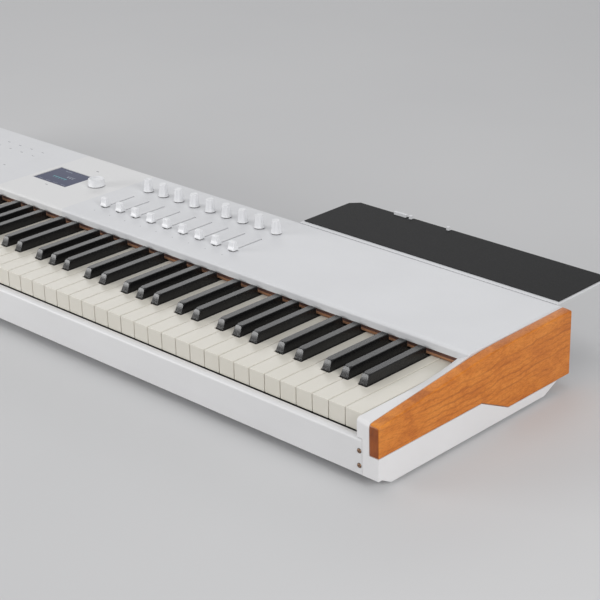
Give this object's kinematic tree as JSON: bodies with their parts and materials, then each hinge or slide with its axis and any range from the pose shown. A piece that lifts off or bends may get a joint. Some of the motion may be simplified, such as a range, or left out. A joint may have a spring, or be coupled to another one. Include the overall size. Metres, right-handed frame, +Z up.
{
  "type": "keyboard instrument",
  "caption": "Long keyboard instrument with rocking keys, wooden end cheeks, knobs, faders, a display and a lift-off rear shelf.",
  "frame": {"origin": "centre of the footprint, at the level the rubber feet stand on", "axes": "+X along the keys towards the treble end, +Y from the player to the back, +Z up"},
  "size_m": [1.286, 0.4364, 0.1138],
  "materials": {
    "case": "fine satin moulded plastic, near-white",
    "sheet_metal": "fine satin white powder coat on sheet metal",
    "rail": "satin, a little greyer than the deck",
    "white_key": "semi-gloss warm white key plastic",
    "black_key": "satin black key plastic",
    "wood": "oiled cherry-coloured wood with wavy grain",
    "felt": "copper-brown woven felt strip",
    "knob": "satin white plastic",
    "silicone": "matte white silicone",
    "display_glass": "bluish-grey screen glass",
    "frame": "dark grey moulded frame",
    "shelf_mat": "matte dark-grey sheet",
    "socket_black": "black moulded sockets",
    "socket_steel": "bright stamped steel shell",
    "rubber": "black rubber foot"
  },
  "bodies": {
    "case": {"bottom_tray": "sheet_metal", "rear_panel": "sheet_metal", "control_deck": "sheet_metal", "front_rail": "rail", "end_block_right": "case", "end_block_left": "case", "wood_cheek_right": "wood", "wood_cheek_left": "wood", "keybed_frame": "frame", "key_felt": "felt", "display": "display_glass", "pad_mat": "silicone", "button_mat": "silicone", "jack_sockets": "socket_black", "usb_socket": "socket_steel", "power_inlet": "socket_black", "foot_1": "rubber", "foot_2": "rubber", "foot_3": "rubber", "foot_4": "rubber"},
    "white_keys_low": {"white_keys_low": "white_key"},
    "black_keys_low": {"black_keys_low": "black_key"},
    "key_C7": {"key_C7": "white_key"},
    "key_D7": {"key_D7": "white_key"},
    "key_E7": {"key_E7": "white_key"},
    "key_F7": {"key_F7": "white_key"},
    "key_G7": {"key_G7": "white_key"},
    "key_A7": {"key_A7": "white_key"},
    "key_B7": {"key_B7": "white_key"},
    "key_C8": {"key_C8": "white_key"},
    "key_C_sharp7": {"key_C_sharp7": "black_key"},
    "key_D_sharp7": {"key_D_sharp7": "black_key"},
    "key_F_sharp7": {"key_F_sharp7": "black_key"},
    "key_G_sharp7": {"key_G_sharp7": "black_key"},
    "key_A_sharp7": {"key_A_sharp7": "black_key"},
    "knob_1": {"knob_1": "knob"},
    "knob_2": {"knob_2": "knob"},
    "knob_3": {"knob_3": "knob"},
    "knob_4": {"knob_4": "knob"},
    "knob_5": {"knob_5": "knob"},
    "knob_6": {"knob_6": "knob"},
    "knob_7": {"knob_7": "knob"},
    "knob_8": {"knob_8": "knob"},
    "knob_9": {"knob_9": "knob"},
    "fader_cap_1": {"fader_cap_1": "knob"},
    "fader_cap_2": {"fader_cap_2": "knob"},
    "fader_cap_3": {"fader_cap_3": "knob"},
    "fader_cap_4": {"fader_cap_4": "knob"},
    "fader_cap_5": {"fader_cap_5": "knob"},
    "fader_cap_6": {"fader_cap_6": "knob"},
    "fader_cap_7": {"fader_cap_7": "knob"},
    "fader_cap_8": {"fader_cap_8": "knob"},
    "fader_cap_9": {"fader_cap_9": "knob"},
    "main_encoder": {"main_encoder": "knob"},
    "pitch_wheel": {"pitch_wheel": "knob"},
    "mod_wheel": {"mod_wheel": "knob"},
    "power_switch": {"power_switch": "socket_black"},
    "shelf": {"shelf_plate": "sheet_metal", "shelf_mat": "shelf_mat", "shelf_bracket": "sheet_metal"}
  },
  "joints": [
    {"name": "press_white_keys_low", "type": "hinge", "parent": "case", "child": "white_keys_low", "pos_m": [0, 0.0072, 0.056], "axis": [1, 0, 0], "range_deg": [0, 2.6], "stiffness_Nm_per_rad": 20, "springref_deg": -28.65},
    {"name": "press_black_keys_low", "type": "hinge", "parent": "case", "child": "black_keys_low", "pos_m": [0, 0.0072, 0.056], "axis": [1, 0, 0], "range_deg": [0, 3], "stiffness_Nm_per_rad": 9, "springref_deg": -28.65},
    {"name": "press_key_C7", "type": "hinge", "parent": "case", "child": "key_C7", "pos_m": [0, 0.0072, 0.056], "axis": [1, 0, 0], "range_deg": [0, 2.6], "stiffness_Nm_per_rad": 0.5, "springref_deg": -28.65},
    {"name": "press_key_D7", "type": "hinge", "parent": "case", "child": "key_D7", "pos_m": [0, 0.0072, 0.056], "axis": [1, 0, 0], "range_deg": [0, 2.6], "stiffness_Nm_per_rad": 0.5, "springref_deg": -28.65},
    {"name": "press_key_E7", "type": "hinge", "parent": "case", "child": "key_E7", "pos_m": [0, 0.0072, 0.056], "axis": [1, 0, 0], "range_deg": [0, 2.6], "stiffness_Nm_per_rad": 0.5, "springref_deg": -28.65},
    {"name": "press_key_F7", "type": "hinge", "parent": "case", "child": "key_F7", "pos_m": [0, 0.0072, 0.056], "axis": [1, 0, 0], "range_deg": [0, 2.6], "stiffness_Nm_per_rad": 0.5, "springref_deg": -28.65},
    {"name": "press_key_G7", "type": "hinge", "parent": "case", "child": "key_G7", "pos_m": [0, 0.0072, 0.056], "axis": [1, 0, 0], "range_deg": [0, 2.6], "stiffness_Nm_per_rad": 0.5, "springref_deg": -28.65},
    {"name": "press_key_A7", "type": "hinge", "parent": "case", "child": "key_A7", "pos_m": [0, 0.0072, 0.056], "axis": [1, 0, 0], "range_deg": [0, 2.6], "stiffness_Nm_per_rad": 0.5, "springref_deg": -28.65},
    {"name": "press_key_B7", "type": "hinge", "parent": "case", "child": "key_B7", "pos_m": [0, 0.0072, 0.056], "axis": [1, 0, 0], "range_deg": [0, 2.6], "stiffness_Nm_per_rad": 0.5, "springref_deg": -28.65},
    {"name": "press_key_C8", "type": "hinge", "parent": "case", "child": "key_C8", "pos_m": [0, 0.0072, 0.056], "axis": [1, 0, 0], "range_deg": [0, 2.6], "stiffness_Nm_per_rad": 0.5, "springref_deg": -28.65},
    {"name": "press_key_C_sharp7", "type": "hinge", "parent": "case", "child": "key_C_sharp7", "pos_m": [0, 0.0072, 0.056], "axis": [1, 0, 0], "range_deg": [0, 3], "stiffness_Nm_per_rad": 0.3, "springref_deg": -28.65},
    {"name": "press_key_D_sharp7", "type": "hinge", "parent": "case", "child": "key_D_sharp7", "pos_m": [0, 0.0072, 0.056], "axis": [1, 0, 0], "range_deg": [0, 3], "stiffness_Nm_per_rad": 0.3, "springref_deg": -28.65},
    {"name": "press_key_F_sharp7", "type": "hinge", "parent": "case", "child": "key_F_sharp7", "pos_m": [0, 0.0072, 0.056], "axis": [1, 0, 0], "range_deg": [0, 3], "stiffness_Nm_per_rad": 0.3, "springref_deg": -28.65},
    {"name": "press_key_G_sharp7", "type": "hinge", "parent": "case", "child": "key_G_sharp7", "pos_m": [0, 0.0072, 0.056], "axis": [1, 0, 0], "range_deg": [0, 3], "stiffness_Nm_per_rad": 0.3, "springref_deg": -28.65},
    {"name": "press_key_A_sharp7", "type": "hinge", "parent": "case", "child": "key_A_sharp7", "pos_m": [0, 0.0072, 0.056], "axis": [1, 0, 0], "range_deg": [0, 3], "stiffness_Nm_per_rad": 0.3, "springref_deg": -28.65},
    {"name": "turn_knob_1", "type": "hinge", "parent": "case", "child": "knob_1", "pos_m": [-0.0191, 0.0648, 0.0955], "axis": [0, 0, 1], "continuous": true},
    {"name": "turn_knob_2", "type": "hinge", "parent": "case", "child": "knob_2", "pos_m": [0.0111, 0.0648, 0.0955], "axis": [0, 0, 1], "continuous": true},
    {"name": "turn_knob_3", "type": "hinge", "parent": "case", "child": "knob_3", "pos_m": [0.0413, 0.0648, 0.0955], "axis": [0, 0, 1], "continuous": true},
    {"name": "turn_knob_4", "type": "hinge", "parent": "case", "child": "knob_4", "pos_m": [0.0715, 0.0648, 0.0955], "axis": [0, 0, 1], "continuous": true},
    {"name": "turn_knob_5", "type": "hinge", "parent": "case", "child": "knob_5", "pos_m": [0.1017, 0.0648, 0.0955], "axis": [0, 0, 1], "continuous": true},
    {"name": "turn_knob_6", "type": "hinge", "parent": "case", "child": "knob_6", "pos_m": [0.1319, 0.0648, 0.0955], "axis": [0, 0, 1], "continuous": true},
    {"name": "turn_knob_7", "type": "hinge", "parent": "case", "child": "knob_7", "pos_m": [0.1621, 0.0648, 0.0955], "axis": [0, 0, 1], "continuous": true},
    {"name": "turn_knob_8", "type": "hinge", "parent": "case", "child": "knob_8", "pos_m": [0.1923, 0.0648, 0.0955], "axis": [0, 0, 1], "continuous": true},
    {"name": "turn_knob_9", "type": "hinge", "parent": "case", "child": "knob_9", "pos_m": [0.2225, 0.0648, 0.0955], "axis": [0, 0, 1], "continuous": true},
    {"name": "slide_fader_cap_1", "type": "slide", "parent": "case", "child": "fader_cap_1", "axis": [0, 1, 0], "range_m": [0, 0.045]},
    {"name": "slide_fader_cap_2", "type": "slide", "parent": "case", "child": "fader_cap_2", "axis": [0, 1, 0], "range_m": [0, 0.045]},
    {"name": "slide_fader_cap_3", "type": "slide", "parent": "case", "child": "fader_cap_3", "axis": [0, 1, 0], "range_m": [0, 0.045]},
    {"name": "slide_fader_cap_4", "type": "slide", "parent": "case", "child": "fader_cap_4", "axis": [0, 1, 0], "range_m": [0, 0.045]},
    {"name": "slide_fader_cap_5", "type": "slide", "parent": "case", "child": "fader_cap_5", "axis": [0, 1, 0], "range_m": [0, 0.045]},
    {"name": "slide_fader_cap_6", "type": "slide", "parent": "case", "child": "fader_cap_6", "axis": [0, 1, 0], "range_m": [0, 0.045]},
    {"name": "slide_fader_cap_7", "type": "slide", "parent": "case", "child": "fader_cap_7", "axis": [0, 1, 0], "range_m": [0, 0.045]},
    {"name": "slide_fader_cap_8", "type": "slide", "parent": "case", "child": "fader_cap_8", "axis": [0, 1, 0], "range_m": [0, 0.045]},
    {"name": "slide_fader_cap_9", "type": "slide", "parent": "case", "child": "fader_cap_9", "axis": [0, 1, 0], "range_m": [0, 0.045]},
    {"name": "turn_main_encoder", "type": "hinge", "parent": "case", "child": "main_encoder", "pos_m": [-0.0918, 0.034, 0.0955], "axis": [0, 0, 1], "continuous": true},
    {"name": "bend_pitch_wheel", "type": "hinge", "parent": "case", "child": "pitch_wheel", "pos_m": [-0.586, 0.0682, 0.0805], "axis": [1, 0, 0], "range_deg": [-30, 30], "stiffness_Nm_per_rad": 0.05},
    {"name": "turn_mod_wheel", "type": "hinge", "parent": "case", "child": "mod_wheel", "pos_m": [-0.558, 0.0682, 0.0805], "axis": [1, 0, 0], "range_deg": [-60, 0]},
    {"name": "rock_power_switch", "type": "hinge", "parent": "case", "child": "power_switch", "pos_m": [-0.412, 0.1109, 0.056], "axis": [1, 0, 0], "range_deg": [-16, 0]},
    {"name": "pull_off_shelf", "type": "slide", "parent": "case", "child": "shelf", "axis": [0, 1, 0], "range_m": [0, 0.05]}
  ]
}
